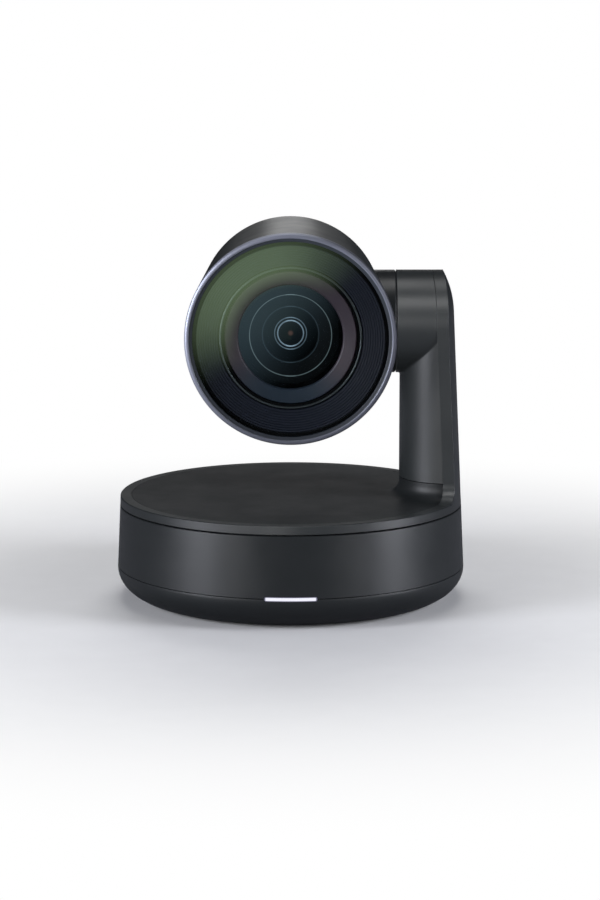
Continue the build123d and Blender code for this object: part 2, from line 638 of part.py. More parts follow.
def barrel_shell():
    """Tapered tube with the boss towards the arm."""
    y0 = FRONT_Y + BEZEL_DEPTH
    tube = along_lens(turned(head_outline(0, y0 + SEAM / 2, BARREL_REAR_Y - SEAM / 2)))
    boss = along_tilt(rod(BOSS_R, 20, BOSS_X))
    boss = chamfer(boss.faces().sort_by(Axis.X)[-1].edges(), 0.4)
    inner = along_lens(turned(head_outline(BARREL_WALL, y0 - 1, BARREL_REAR_Y + 1)))
    pocket = along_tilt(rod(BOSS_R - BARREL_WALL, 20, BOSS_X - BARREL_WALL))
    shell = tube + boss - inner - pocket
    return shell - along_tilt(rod(9.0, 20, 60))


def rear_cap():
    """Rounded back of the head, with vent slots and four screw bosses."""
    y0, y1 = BARREL_REAR_Y + SEAM / 2, REAR_Y
    bend = 9.0
    r0 = barrel_r(y0)
    r1 = barrel_r(y1 - bend)
    r_flat = r1 - bend - 0.3
    k = bend * (1 - sin(pi / 4))
    edges = [Line((0, y0), (r0, y0)), Line((r0, y0), (r1, y1 - bend)),
             ThreePointArc((r1, y1 - bend), (r1 - k - 0.1, y1 - k), (r_flat, y1)),
             Line((r_flat, y1), (0, y1)), Line((0, y1), (0, y0))]
    body = revolve(Plane.XZ * make_face(Curve() + edges), axis=Axis.Z)
    hollow = [(0, y0 - 1), (r0 - WALL, y0 - 1), (r1 - WALL, y1 - bend), (r_flat, y1 - WALL), (0, y1 - WALL)]
    body -= turned(hollow)
    body += ring(r0 - WALL - 2.0, r0 - WALL - 0.15, y0 - 3.0, y0 + 4.0)
    for x, z in POST_PLACES:
        body += rod(3.2, BOARD_Y + 1.6, y1 - 1, x, z)
        body -= rod(1.25, BOARD_Y, y1 + 1, x, z) + rod(2.7, y1 - 1.8, y1 + 1, x, z)
    for i in range(-4, 5):
        half = 0.92 * sqrt(VENT_R ** 2 - (i * VENT_PITCH) ** 2)
        body -= Pos(0, i * VENT_PITCH, y1 - 8) * extrude(SlotOverall(2 * half, VENT_W), 12)
    return along_lens(body)


def rear_cap_screws():
    length = REAR_Y - 1.8 - BOARD_Y + 6.0
    return [along_lens(screw(x, z, REAR_Y - 1.8, length, r=1.18)) for x, z in POST_PLACES]


def front_bezel_ring():
    """Metal ring round the window, with a sleeve that plugs into the barrel."""
    y0, y1 = FRONT_Y, FRONT_Y + BEZEL_DEPTH
    back = WINDOW_Y + WINDOW_T
    edge = 0.35
    seat = WINDOW_R + 0.05
    body = turned([(seat, WINDOW_Y - 0.25), (WINDOW_R + 1.3, y0 + 0.02), (WINDOW_R + 1.6, y0), (barrel_r(y0) - edge, y0),
                   (barrel_r(y0) - 0.02, y0 + edge), (barrel_r(y1), y1), (39.6, y1), (39.6, back + 0.6),
                   (seat, back + 0.6)])
    return along_lens(body + ring(39.6, barrel_r(y1 + 4) - BARREL_WALL - 0.12, y1 - 0.5, y1 + 4.0))


def front_window():
    return along_lens(ring(0, WINDOW_R, WINDOW_Y, WINDOW_Y + WINDOW_T))


def window_gasket():
    return along_lens(ring(39.6, WINDOW_R, WINDOW_Y + WINDOW_T, WINDOW_Y + WINDOW_T + 0.6))


def lens_baffle():
    """Grooved funnel between the window and the lens."""
    y0 = WINDOW_Y + WINDOW_T + 0.9
    depth = 3.2
    pitch = (BAFFLE_OUT_R - BAFFLE_IN_R) / BAFFLE_GROOVES
    points = [(BAFFLE_OUT_R + 0.5, y0)]
    for i in range(BAFFLE_GROOVES):
        r = BAFFLE_OUT_R - i * pitch
        y = y0 + depth * i / BAFFLE_GROOVES
        points += [(r, y), (r - pitch * 0.45, y), (r - pitch * 0.55, y + 0.55), (r - pitch * 0.9, y + 0.5)]
    points += [(BAFFLE_IN_R, y0 + depth), (BAFFLE_IN_R, y0 + depth + 7), (BAFFLE_IN_R + 1.2, y0 + depth + 7),
               (BAFFLE_IN_R + 1.2, y0 + depth + 1.8), (BAFFLE_OUT_R + 0.5, y0 + 2.2)]
    return along_lens(turned(points))


def lens_trim_ring():
    y = TUBE_FRONT_Y
    return along_lens(turned([(29.0, y), (29.0, y - 0.5), (29.3, y - 0.8), (29.7, y - 0.8), (29.9, y - 0.5),
                              (29.9, y)]))


def lens_retaining_ring():
    """Coned ring that holds the front lens down in the tube."""
    return along_lens(turned([(27.8, SEAT_Y), (27.8, SEAT_Y - 2.0), (27.3, SEAT_Y - 2.2),
                              (22.4, SEAT_Y - 0.9), (21.9, SEAT_Y - 0.4), (21.9, LIP_Y - 3.2),
                              (22.5, LIP_Y - 3.2), (22.5, SEAT_Y)]))


def front_lens():
    return lens_glass(FRONT_LENS_R, LIP_Y - 1.5, 3.0, 2.6, -1.5)


def second_lens_cell():
    """Stepped black cell behind the front lens; its back wall holds the aperture."""
    back = CAVITY_Y - 0.1
    return along_lens(turned([(20.4, LIP_Y + 0.1), (17.3, LIP_Y + 0.1), (17.0, LIP_Y + 0.5),
                              (12.4, back - 4.1), (11.45, back - 4.1), (11.45, back - 1.3), (9.5, back - 1.3),
                              (9.5, back - 0.6), (4.8, back - 0.6), (5.0, back), (20.4, back)]))


def fixed_lenses():
    """The lens in the cell and the last lens in front of the sensor."""
    return [lens_glass(11.4, CAVITY_Y - 2.6, 2.4, 1.4, -0.4), lens_glass(6.5, 8.9, 2.6, 0.9, 0.0)]


def zoom_lens():
    return lens_glass(10.95, ZOOM_Y, 2.6, 1.2, 1.2)


def focus_lens():
    return lens_glass(7.95, FOCUS_Y, 2.4, 1.0, -0.5)


def lens_barrel():
    """Fixed lens tube: front lens seat, space for the moving groups, wall in front of the sensor."""
    y0, y1 = TUBE_FRONT_Y, TUBE_REAR_Y
    tube = turned([(28.0, y0), (LENS_TUBE_R, y0), (LENS_TUBE_R, y1), (0, y1), (0, y1 - 1.8), (27.6, y1 - 1.8),
                   (27.6, CAVITY_Y), (20.5, CAVITY_Y), (20.5, LIP_Y), (FRONT_LENS_R + 0.1, LIP_Y),
                   (FRONT_LENS_R + 0.1, SEAT_Y), (28.0, SEAT_Y)])
    tube += ring(6.55, 9.0, y1 - 5.0, y1 - 1.5)
    tube -= block(-5.5, 5.5, -4.0, 4.0, y1 - 5, y1 + 5)
    for z in (-ROD_CIRCLE, ROD_CIRCLE):
        tube -= rod(ROD_R + 0.01, CAVITY_Y - 0.8, CAVITY_Y + 1, 0, z)
        tube -= rod(ROD_R + 0.01, y1 - 2.5, y1 - 0.95, 0, z)
    for x in (ZOOM_X, FOCUS_X):
        tube -= rod(1.0 + FIT, CAVITY_Y - 0.8, CAVITY_Y + 1, x, 0)
        tube -= rod(1.0 + FIT, y1 - 2.5, y1 + 1, x, 0)
    return along_lens(tube)


def lens_guide_rods():
    y0, y1 = CAVITY_Y - 0.8, TUBE_REAR_Y - 0.95
    return [along_lens(rod(ROD_R, y0, y1, 0, z)) for z in (-ROD_CIRCLE, ROD_CIRCLE)]


def carrier(y_mid, lens_r, nut_x):
    """Lens carrier: a ring with two rod bosses and a nut for its lead screw."""
    y0, y1 = y_mid - 1.5, y_mid + 1.5
    body = ring(lens_r, lens_r + 4.0, y0, y1)
    for z in (-ROD_CIRCLE, ROD_CIRCLE):
        body += block(-2.2, 2.2, min(z, 0), max(z, 0), y0, y1) - rod(lens_r + 1, y0 - 1, y1 + 1)
        body += rod(2.9, y_mid - 3, y_mid + 3, 0, z)
    body += block(min(nut_x, 0), max(nut_x, 0), -1.8, 1.8, y0, y1) - rod(lens_r + 1, y0 - 1, y1 + 1)
    body += rod(3.2, y_mid - 2.0, y_mid + 2.0, nut_x, 0)
    for z in (-ROD_CIRCLE, ROD_CIRCLE):
        body -= rod(ROD_R + FIT, y_mid - 9, y_mid + 9, 0, z)
    return along_lens(body - rod(SCREW_R + 0.06, y_mid - 9, y_mid + 9, nut_x, 0))


def lead_screw(x):
    """Lead screw with its thread drawn as rings, on plain end journals."""
    pitch = 1.5
    y_start = CAVITY_Y + 0.3
    turns = int((TUBE_REAR_Y - 2.2 - y_start) / pitch)
    points = [(0, y_start)]
    for n in range(turns):
        y = y_start + n * pitch
        points += [(SCREW_R, y), (SCREW_R, y + 0.5 * pitch)]
        points += [(1.15, y + 0.65 * pitch), (1.15, y + 0.9 * pitch)]
    points.append((0, y_start + (turns - 0.1) * pitch))
    body = turned(points) + rod(1.0, CAVITY_Y - 0.75, TUBE_REAR_Y - 0.05)
    return along_lens(Pos(x, 0, 0) * body)


def lens_glass(r, y_mid, edge, bulge_front, bulge_back):
    """Round lens; each bulge is the height of a spherical face, negative where it is hollow."""
    def face_arc(y, height, start, end):
        if not height:
            return Line(start, end)
        radius = (r * r + height * height) / (2 * abs(height))
        at_half = height - (radius - sqrt(radius * radius - r * r / 4)) * (1 if height > 0 else -1)
        return ThreePointArc(start, (r / 2, y + at_half), end)

    front, back = y_mid - edge / 2, y_mid + edge / 2
    axis_front, axis_back = front - bulge_front, back + bulge_back
    edges = [face_arc(back, bulge_back, (0, axis_back), (r, back)),
             Line((r, back), (r, front)),
             face_arc(front, -bulge_front, (r, front), (0, axis_front)),
             Line((0, axis_front), (0, axis_back))]
    return along_lens(revolve(Plane.XZ * make_face(Curve() + edges), axis=Axis.Z))


def head_frame():
    """Cast yoke that ties lens tube, boards, rear cap and tilt shaft together."""
    rear = TUBE_REAR_Y
    body = ring(LENS_TUBE_R, LENS_TUBE_R + 2.4, -14.0, rear + 2.0)
    body += ring(27.4, LENS_TUBE_R + 2.4, rear, rear + 2.0)
    for x, z in POST_PLACES:
        body += rod(2.6, rear, BOARD_Y, x, z) - rod(1.2, BOARD_Y - 8.0, BOARD_Y + 1, x, z)
    hub = along_tilt(rod(11.5, LENS_TUBE_R - 4, HUB_END_X)) - along_lens(rod(LENS_TUBE_R, -30, rear + 1))
    body = along_lens(body) + hub
    body -= along_tilt(rod(7.5, LENS_TUBE_R + 1.3, HUB_END_X + 1))
    return body - cable_window()


def cable_window():
    """Opening in hub and shaft where the head cable leaves sideways."""
    return Pos(0, 0, TILT_Z) * block(LENS_TUBE_R + 1.3, 37.6, 0, 20, -2.2, 2.2)


def tilt_shaft():
    """Hollow shaft, pressed into the head frame, turning in the arm's bearings."""
    body = ring(4.6, 7.5, LENS_TUBE_R + 1.3, GEAR_X + 4.2)
    body += ring(7.4, 8.5, HUB_END_X, BEARING_X)
    return along_tilt(body) - cable_window()


def tilt_gear():
    body = gear(TILT_MODULE, TILT_TEETH, 7.5, GEAR_X, GEAR_X + 3.1)
    for n in range(5):
        body -= Rot(0, 0, 72 * n + 36) * Pos(12.4, 0, GEAR_X) * Cylinder(2.6, 20)
    body += ring(7.5, 8.5, ARM_PLATE_X + ARM_PLATE_T, GEAR_X + 1)
    return along_tilt(body)


def image_sensor_board():
    board = block(-15, 15, -15, 15, TUBE_REAR_Y, TUBE_REAR_Y + 1.5)
    board += block(-5.4, 5.4, -3.9, 3.9, TUBE_REAR_Y - 1.4, TUBE_REAR_Y + 0.2)
    return along_lens(board)


def processor_board():
    y = BOARD_Y
    board = rod(37.2, y, y + 1.6)
    for x, z in POST_PLACES:
        board -= rod(1.3, y - 1, y + 3, x, z)
    for x, z, w, h, t in ((0, 0, 15, 15, 1.4), (-18, 4, 9, 9, 1.0), (18, 4, 9, 9, 1.0), (0, -22, 16, 4, 2.2),
                          (-14, -12, 5, 5, 1.6), (14, -12, 5, 5, 1.6)):
        board += block(x - w / 2, x + w / 2, z - h / 2, z + h / 2, y - t, y + 0.1)
    return along_lens(board)


def heat_sink():
    y = BOARD_Y + 1.6
    body = block(-15.5, 15.5, -15.5, 15.5, y, y + 1.6)
    for i in range(-5, 6):
        body += block(i * 3.0 - 0.5, i * 3.0 + 0.5, -15.5, 15.5, y + 1.5, y + 8.0)
    return along_lens(body)


def head_cable():
    """Round cable from the end of the tilt shaft to the processor board."""
    bend = 5.0
    x_run = 34.9
    path = Curve() + [Line((GEAR_X + 4.0, 0), (x_run + bend, 0)),
                      CenterArc((x_run + bend, bend), bend, 270, -90),
                      Line((x_run, bend), (x_run, BOARD_Y))]
    section = Plane(origin=(GEAR_X + 4.0, 0, 0), z_dir=(-1, 0, 0)) * Circle(1.8)
    return Pos(0, 0, TILT_Z) * sweep(section, path=path)


def lens_motors():
    """The two small steppers behind the lens tube that turn the lead screws."""
    motors = []
    for x in (ZOOM_X, FOCUS_X):
        body = rod(3.9, TUBE_REAR_Y, TUBE_REAR_Y + 9.0, x, 0)
        motors.append(along_lens(body + rod(2.0, TUBE_REAR_Y + 8.5, TUBE_REAR_Y + 9.8, x, 0)))
    return motors


# ---------------------------------------------------------------- write every node

def write(name, shape):
    """One STEP file per node; a list is a group of separate solids."""
    if isinstance(shape, list):
        shape = Compound(children=[s.solid() for s in shape])
    export_step(shape, os.path.join("parts", name + ".step"))


def main():
    os.makedirs("parts", exist_ok=True)
    pan_outer, pan_inner, pan_balls = bearing(HUB_R, 26.0, 7.0, 22, 1.9, BEARING_Z)
    tilt_outer, tilt_inner, tilt_balls = tilt_bearings()
    nodes = {
        "base_bottom_shell": base_bottom_shell(),
        "base_side_shell": base_side_shell(),
        "status_light_bar": status_light_bar(),
        "status_light_board": status_light_board(),
        "rubber_foot_ring": rubber_foot_ring(),
        "tripod_insert": tripod_insert(),
        "base_screws": base_screws(),
        "base_frame": base_frame(),
        "pan_bearing_outer_ring": pan_outer,
        "pan_bearing_retainer": pan_bearing_retainer(),
        "pan_motor": pan_motor(),
        "pan_pinion": pan_pinion(),
        "pan_home_sensor": pan_home_sensor(),
        "main_board": main_board(),
        "power_jack": power_jack(),
        "usb_port": usb_port(),
        "video_port": video_port(),
        "pairing_button": pairing_button(),
        "turntable_outer_shell": turntable_outer_shell(),
        "turntable_cover": turntable_cover(),
        "arm_inner_cover": arm_inner_cover(),
        "turntable_frame": turntable_frame(),
        "pan_gear": pan_gear(),
        "pan_bearing_ring_and_balls": [pan_inner] + pan_balls,
        "arm_frame": arm_frame(),
        "turntable_screws": turntable_screws(),
        "arm_flex_cable": arm_flex_cable(),
        "tilt_drive_board": tilt_drive_board(),
        "tilt_bearing_outer_rings": tilt_outer,
        "tilt_motor": tilt_motor(),
        "tilt_pinion": tilt_pinion(),
        "tilt_shaft": tilt_shaft(),
        "tilt_bearing_rings_and_balls": tilt_inner + tilt_balls,
        "tilt_gear": tilt_gear(),
        "barrel_shell": barrel_shell(),
        "rear_cap": rear_cap(),
        "rear_cap_screws": rear_cap_screws(),
        "front_bezel_ring": front_bezel_ring(),
        "front_window": front_window(),
        "window_gasket": window_gasket(),
        "lens_baffle": lens_baffle(),
        "lens_trim_ring": lens_trim_ring(),
        "lens_retaining_ring": lens_retaining_ring(),
        "lens_barrel": lens_barrel(),
        "front_lens": front_lens(),
        "second_lens_cell": second_lens_cell(),
        "fixed_lenses": fixed_lenses(),
        "lens_guide_rods": lens_guide_rods(),
        "zoom_carrier": carrier(ZOOM_Y, 11.0, ZOOM_X),
        "zoom_lens": zoom_lens(),
        "zoom_screw": lead_screw(ZOOM_X),
        "focus_carrier": carrier(FOCUS_Y, 8.0, FOCUS_X),
        "focus_lens": focus_lens(),
        "focus_screw": lead_screw(FOCUS_X),
        "lens_motors": lens_motors(),
        "image_sensor_board": image_sensor_board(),
        "processor_board": processor_board(),
        "heat_sink": heat_sink(),
        "head_frame": head_frame(),
        "head_cable": head_cable(),
    }
    for name, shape in nodes.items():
        write(name, shape)


main()
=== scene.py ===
import json
import math

import bmesh
import bpy
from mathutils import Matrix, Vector

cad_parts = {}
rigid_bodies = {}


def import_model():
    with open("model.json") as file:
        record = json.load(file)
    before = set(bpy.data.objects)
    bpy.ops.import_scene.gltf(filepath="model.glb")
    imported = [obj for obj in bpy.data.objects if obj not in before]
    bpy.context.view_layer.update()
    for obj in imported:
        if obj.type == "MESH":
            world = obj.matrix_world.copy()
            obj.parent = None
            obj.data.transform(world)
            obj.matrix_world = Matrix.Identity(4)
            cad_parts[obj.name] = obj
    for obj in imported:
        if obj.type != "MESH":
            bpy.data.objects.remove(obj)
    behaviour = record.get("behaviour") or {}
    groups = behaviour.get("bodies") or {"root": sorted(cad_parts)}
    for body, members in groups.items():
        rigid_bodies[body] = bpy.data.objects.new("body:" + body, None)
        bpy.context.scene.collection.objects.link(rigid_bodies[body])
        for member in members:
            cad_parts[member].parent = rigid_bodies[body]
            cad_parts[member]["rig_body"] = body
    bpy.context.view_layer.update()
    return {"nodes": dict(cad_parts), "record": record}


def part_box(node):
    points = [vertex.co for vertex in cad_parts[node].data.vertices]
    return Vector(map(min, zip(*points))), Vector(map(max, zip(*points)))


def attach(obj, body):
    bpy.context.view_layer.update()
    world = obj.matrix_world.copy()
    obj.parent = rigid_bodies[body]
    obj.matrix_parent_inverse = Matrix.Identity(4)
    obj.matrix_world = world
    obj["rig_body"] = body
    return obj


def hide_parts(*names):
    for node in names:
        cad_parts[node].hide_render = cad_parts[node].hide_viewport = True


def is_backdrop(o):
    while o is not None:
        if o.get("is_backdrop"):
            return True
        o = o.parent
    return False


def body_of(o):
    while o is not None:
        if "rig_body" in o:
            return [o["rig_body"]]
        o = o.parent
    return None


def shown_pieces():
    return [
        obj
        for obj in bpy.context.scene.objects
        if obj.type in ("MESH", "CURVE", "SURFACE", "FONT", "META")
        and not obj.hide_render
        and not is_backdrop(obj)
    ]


# Pan-tilt-zoom camera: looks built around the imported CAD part. Blender works in metres. Radii, heights and
# outlines below are millimetres, and MM turns them into metres.
MM = 0.001

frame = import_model()
bezel_low, bezel_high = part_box("front_bezel_ring")
bar_low, bar_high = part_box("status_light_bar")

FRONT_Y = round(bezel_low.y / MM, 2)                            # front face of the bezel
TILT_Z = round((bezel_low.z + bezel_high.z) / 2 / MM, 2)        # height of the tilt and lens axes
BEZEL_R = round(bezel_high.x / MM, 2)
WINDOW_R = round(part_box("front_window")[1].x / MM, 2)
BAR_Z = round((bar_low.z + bar_high.z) / 2 / MM, 2)             # middle of the light bar
GASKET_R = 39.6         # bore of the bezel and of the gasket
BAFFLE_R = 30.2         # bore of the baffle
LENS_R = 22.5           # edge of the front lens
GLASS_Y = 1.0           # front of the window, behind the bezel's front face
LENS_Y = 8.9            # middle of the front lens, behind the bezel's front face
SEGMENTS = 144          # sides of a turned piece

DRIFT = 0.06            # how far a finish's colour drifts, as a share
SMUDGE = 0.04           # how far its roughness drifts
GRAIN_DEPTH = 0.00004   # height of its grain, in metres


# ---------------------------------------------------------------- material helpers

def srgb(r, g, b):
    """A colour written as 0..255 sRGB, as linear RGBA."""
    out = []
    for c in (r, g, b):
        c /= 255.0
        out.append(c / 12.92 if c <= 0.04045 else ((c + 0.055) / 1.055) ** 2.4)
    return (*out, 1.0)


def add(nt, kind, inputs=None, **settings):
    """New node; inputs sets its sockets by name or index, settings its properties."""
    n = nt.nodes.new(kind)
    for k, v in settings.items():
        setattr(n, k, v)
    for k, v in (inputs or {}).items():
        if isinstance(v, bpy.types.NodeSocket):
            nt.links.new(v, n.inputs[k])
        else:
            n.inputs[k].default_value = v
    return n


def noise(nt, place, scale, detail=3.0, rough=0.55):
    return add(nt, "ShaderNodeTexNoise",
               {"Vector": place, "Scale": scale, "Detail": detail, "Roughness": rough}).outputs["Fac"]


def spread(nt, value, low, high):
    """A 0..1 noise stretched to low..high."""
    n = add(nt, "ShaderNodeMapRange", {"Value": value, "From Min": 0.3, "From Max": 0.7,
                                       "To Min": low, "To Max": high})
    return n.outputs["Result"]


def mixed(nt, factor, a, b):
    """Colour a at factor 0, b at factor 1; sockets 6 and 7 are the mix node's two colours."""
    return add(nt, "ShaderNodeMix", {0: factor, 6: a, 7: b}, data_type="RGBA").outputs[2]


def scaled(colour, k):
    return (*(min(c * k, 1.0) for c in colour[:3]), 1.0)


def maths(nt, operation, a, b=0.0):
    return add(nt, "ShaderNodeMath", {0: a, 1: b}, operation=operation).outputs[0]


def times(nt, a, b):
    return maths(nt, "MULTIPLY", a, b)


def found(nt, kind):
    """The material's one node of this kind."""
    return next(n for n in nt.nodes if n.type == kind)


def new_material(name):
    m = bpy.data.materials.new(name)
    m.use_nodes = True
    nt = m.node_tree
    nt.nodes.clear()
    place = add(nt, "ShaderNodeTexCoord").outputs["Object"]
    out = add(nt, "ShaderNodeOutputMaterial")
    return m, nt, place, out


def edge_mask(nt, radius):
    """Rounded shading normal, and a 0..1 mask of the edges it rounds."""
    rounded = add(nt, "ShaderNodeBevel", {"Radius": radius}, samples=4).outputs["Normal"]
    flat = add(nt, "ShaderNodeNewGeometry").outputs["Normal"]
    dot = add(nt, "ShaderNodeVectorMath", {0: rounded, 1: flat}, operation="DOT_PRODUCT").outputs["Value"]
    mask = add(nt, "ShaderNodeMapRange", {"Value": dot, "From Min": 1.0, "From Max": 0.86,
                                          "To Min": 0.0, "To Max": 1.0}).outputs["Result"]
    return rounded, mask


def ramp(nt, value, a, b, low=0.0, high=1.0):
    """Smooth step of value from low at a to high at b."""
    n = add(nt, "ShaderNodeMapRange", {"Value": value, "From Min": a, "From Max": b,
                                       "To Min": low, "To Max": high}, interpolation_type="SMOOTHSTEP")
    return n.outputs["Result"]


def solid(name, colour, rough, metallic=0.0, grain=2400.0, bump=0.05, edge=0.0, specular=0.5, brushed=None):
    """Opaque finish: colour drift, fine grain in the bump, patchy roughness, edges lightened in speckled
    patches.
    """
    m, nt, place, out = new_material(name)
    drift = spread(nt, noise(nt, place, 34.0, 4.0), 0.0, 1.0)
    base = mixed(nt, drift, scaled(colour, 1 - DRIFT), scaled(colour, 1 + DRIFT))
    if brushed:
        stretch = add(nt, "ShaderNodeMapping", {"Vector": place, "Scale": brushed}).outputs["Vector"]
        fine = noise(nt, stretch, 1.0, 4.0, 0.7)
    else:
        fine = noise(nt, place, grain, 2.0, 0.5)
    speckle = spread(nt, fine, 0.0, 1.0)
    base = mixed(nt, times(nt, speckle, 0.12), base, scaled(colour, 1 + 3 * DRIFT))
    patches = spread(nt, noise(nt, place, 60.0, 5.0, 0.6), rough - SMUDGE, rough + SMUDGE)
    bumped = add(nt, "ShaderNodeBump", {"Strength": bump, "Distance": GRAIN_DEPTH, "Height": fine})
    if edge:
        rounded, mask = edge_mask(nt, edge)
        # Edges lightened in speckled patches.
        edge_lightening = times(nt, times(nt, mask, speckle), 0.55)
        base = mixed(nt, edge_lightening, base, scaled(colour, 1.5))
        nt.links.new(rounded, bumped.inputs["Normal"])
    surface = add(nt, "ShaderNodeBsdfPrincipled", {
        "Base Color": base, "Roughness": patches, "Metallic": metallic, "Normal": bumped.outputs["Normal"],
        "Specular IOR Level": specular})
    nt.links.new(surface.outputs[0], out.inputs["Surface"])
    return m


def off_axis(nt, place, degrees=135.0):
    """Distance from the lens axis in metres, share of it that points in the given direction (0 right,
    90 up, seen from the front), and Y."""
    split = add(nt, "ShaderNodeSeparateXYZ", {0: place})
    rise = maths(nt, "SUBTRACT", split.outputs["Z"], TILT_Z * MM)
    flat = add(nt, "ShaderNodeCombineXYZ", {"X": split.outputs["X"], "Z": rise}).outputs[0]
    reach = add(nt, "ShaderNodeVectorMath", {0: flat}, operation="LENGTH").outputs["Value"]
    turn = math.radians(degrees)
    slant = add(nt, "ShaderNodeVectorMath", {0: flat, 1: (math.cos(turn), 0.0, math.sin(turn))},
                operation="DOT_PRODUCT").outputs["Value"]
    return reach, maths(nt, "DIVIDE", slant, reach), split.outputs["Y"]


def glass_with_painted_reflection(name, tint, mirror, painted_reflection_colour, strength, degrees, low, high, fade, front_y, span=None):
    """Coated glass: clear straight through, a tinted mirror at a slant, and a painted reflection, emitted on
    the front face, which is all that lies in front of front_y. The painted reflection is strongest in one
    direction off the axis, where it steps up from low to high, and fade is (inner radius, outer radius,
    share left inside).
    With span, in mm, it crosses the glass as one slope instead, and a faint reddish painted glint sits above
    the axis."""
    m, nt, place, out = new_material(name)
    # Painted reflection: strongest in one direction off the axis, patchy from noise, emitted on the front
    # face only.
    reach, slant, y = off_axis(nt, place, degrees)
    if span:
        slant = times(nt, slant, maths(nt, "DIVIDE", reach, span * MM))
    cloud = spread(nt, noise(nt, place, 30.0, 3.0), -0.05, 0.05)
    slant = maths(nt, "ADD", slant, cloud)
    front = maths(nt, "LESS_THAN", y, front_y * MM)
    share = times(nt, times(nt, ramp(nt, slant, low, high), front), strength)
    share = times(nt, share, ramp(nt, reach, fade[0] * MM, fade[1] * MM, fade[2], 1.0))
    # The painted reflection is dimmed over the gasket ring.
    share = times(nt, share, ramp(nt, reach, (GASKET_R - 0.7) * MM, GASKET_R * MM, 1.0, 0.55))
    glow = add(nt, "ShaderNodeEmission", {"Color": painted_reflection_colour, "Strength": share})
    # Painted glint: a small reddish spot emitted just above the axis.
    if span:
        centre = (0.0, (FRONT_Y + LENS_Y) * MM, (TILT_Z + 1.8) * MM)
        away = add(nt, "ShaderNodeVectorMath", {0: place, 1: centre}, operation="DISTANCE").outputs["Value"]
        painted_glint_mask = times(nt, ramp(nt, away, 1.5 * MM, 0.3 * MM), 0.055)
        painted_glint_shader = add(nt, "ShaderNodeEmission", {"Color": (1.0, 0.50, 0.40, 1), "Strength": painted_glint_mask})
        glow = add(nt, "ShaderNodeAddShader", {0: glow.outputs[0], 1: painted_glint_shader.outputs[0]})
    dust = spread(nt, noise(nt, place, 700.0, 5.0, 0.7), 0.03, 0.09)
    through = add(nt, "ShaderNodeBsdfTransparent", {"Color": tint})
    gloss = add(nt, "ShaderNodeBsdfGlossy", {"Color": mirror, "Roughness": dust})
    fresnel = times(nt, add(nt, "ShaderNodeLayerWeight", {"Blend": 0.05}).outputs["Fresnel"], front)
    glass = add(nt, "ShaderNodeMixShader", {0: fresnel, 1: through.outputs[0], 2: gloss.outputs[0]})
    both = add(nt, "ShaderNodeAddShader", {0: glass.outputs[0], 1: glow.outputs[0]})
    nt.links.new(both.outputs[0], out.inputs["Surface"])
    return m


def cell_with_painted_rings(name, base, rings):
    """Dark cell with fine bright rings of painted reflection, emitted, each (radius, half-width, colour,
    strength) in mm, and painted glints at their top and bottom.
    """
    m = solid(name, base, 0.8, edge=0.0001, specular=0.1)
    nt = m.node_tree
    out = found(nt, "OUTPUT_MATERIAL")
    surface = out.inputs["Surface"].links[0].from_socket
    place = found(nt, "TEX_COORD").outputs["Object"]
    reach = off_axis(nt, place)[0]
    # Painted glints: ring strength patchy from noise, and up to 1.7 times stronger near the top and bottom.
    painted_ring_glints = spread(nt, noise(nt, place, 150.0, 3.0), 0.6, 1.0)
    side = add(nt, "ShaderNodeSeparateXYZ", {0: place}).outputs["X"]
    side = maths(nt, "ABSOLUTE", side)
    painted_ring_glints = times(nt, painted_ring_glints, ramp(nt, side, 2.8 * MM, 1.2 * MM, 1.0, 1.7))
    # Each ring is a painted reflection, emitted.
    for radius, half, colour, strength in rings:
        gap = maths(nt, "ABSOLUTE", maths(nt, "SUBTRACT", reach, radius * MM))
        painted_ring_line = times(nt, ramp(nt, gap, half * MM, 0.4 * half * MM, 0.0, strength), painted_ring_glints)
        glow = add(nt, "ShaderNodeEmission", {"Color": colour, "Strength": painted_ring_line})
        surface = add(nt, "ShaderNodeAddShader", {0: surface, 1: glow.outputs[0]}).outputs[0]
    nt.links.new(surface, out.inputs["Surface"])
    return m


def painted_shade_bezel(name):
    """Satin lilac-grey metal band with a dark lip next to the glass, and painted shade darkening it towards
    its lower right.
    """
    m = solid(name, srgb(172, 176, 192), 0.42, metallic=0.5, edge=0.0003, bump=0.04,
              brushed=(300, 9000, 300))
    nt = m.node_tree
    place = found(nt, "TEX_COORD").outputs["Object"]
    skin = found(nt, "BSDF_PRINCIPLED")
    inner = ramp(nt, off_axis(nt, place)[0], 42.45 * MM, 42.15 * MM)
    metal = skin.inputs["Base Color"].links[0].from_socket
    metal = mixed(nt, inner, metal, srgb(64, 70, 78))
    # Painted shade: darker towards the lower right, up to 42% of the way to near black.
    low = ramp(nt, off_axis(nt, place, 118)[1], 0.5, -0.8, 0.0, 0.42)
    nt.links.new(mixed(nt, low, metal, (0.02, 0.02, 0.025, 1)), skin.inputs["Base Color"])
    nt.links.new(ramp(nt, inner, 0.0, 1.0, 0.55, 0.0), skin.inputs["Metallic"])
    return m


def two_hues(name, upper, lower):
    """Satin coating that looks bluer towards the bottom."""
    m = solid(name, upper, 0.4, metallic=0.2, edge=0.0001)
    nt = m.node_tree
    place = found(nt, "TEX_COORD").outputs["Object"]
    skin = found(nt, "BSDF_PRINCIPLED")
    down = ramp(nt, off_axis(nt, place, -95)[1], 0.35, 0.95)
    top = skin.inputs["Base Color"].links[0].from_socket
    nt.links.new(mixed(nt, down, top, lower), skin.inputs["Base Color"])
    return m


